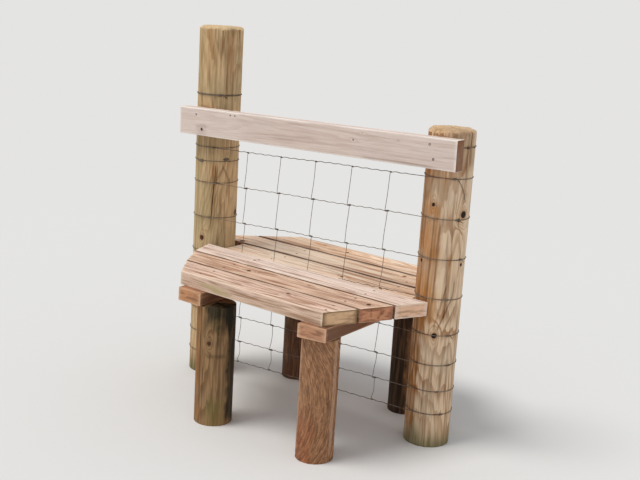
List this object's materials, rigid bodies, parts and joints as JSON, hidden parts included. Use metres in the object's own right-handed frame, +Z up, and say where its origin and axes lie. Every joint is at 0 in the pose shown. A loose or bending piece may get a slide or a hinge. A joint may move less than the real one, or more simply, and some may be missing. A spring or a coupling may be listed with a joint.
{
  "type": "wooden step stile",
  "caption": "Step stile of sawn boards and round posts over a netting fence: a slanted step on each side of the fence, on shared bearers and legs, with a hand rail between two tall posts.",
  "frame": {"origin": "centre of the left tall post's foot, at ground level", "axes": "+X along the fence towards the right post, +Y across the fence to the far side, +Z up"},
  "size_m": [1.1713, 0.8152, 1.342],
  "materials": {
    "left_post_timber": "honey-coloured round post, weathered, with long checks",
    "right_post_timber": "honey-coloured round post, orange on one side and greyer below",
    "rail_timber": "pale fresh sawn softwood",
    "board_timber": "sawn softwood, warm and dry",
    "bearer_timber": "sawn softwood, orange-brown",
    "leg_timber": "round posts, brown, with algae at the foot",
    "fence_wire": "dull galvanised wire"
  },
  "bodies": {
    "root": {"left_post": "left_post_timber", "right_post": "right_post_timber", "rail": "rail_timber", "near_back_board": "board_timber", "near_middle_board": "board_timber", "near_front_board": "board_timber", "far_inner_board": "board_timber", "far_middle_board": "board_timber", "far_outer_board": "board_timber", "left_bearer": "bearer_timber", "right_bearer": "bearer_timber", "near_left_leg": "leg_timber", "near_right_leg": "leg_timber", "far_left_leg": "leg_timber", "far_right_leg": "leg_timber", "net": "fence_wire", "left_net_wraps": "fence_wire", "right_net_wraps": "fence_wire", "left_top_wrap": "fence_wire", "right_top_wrap": "fence_wire"}
  },
  "joints": []
}
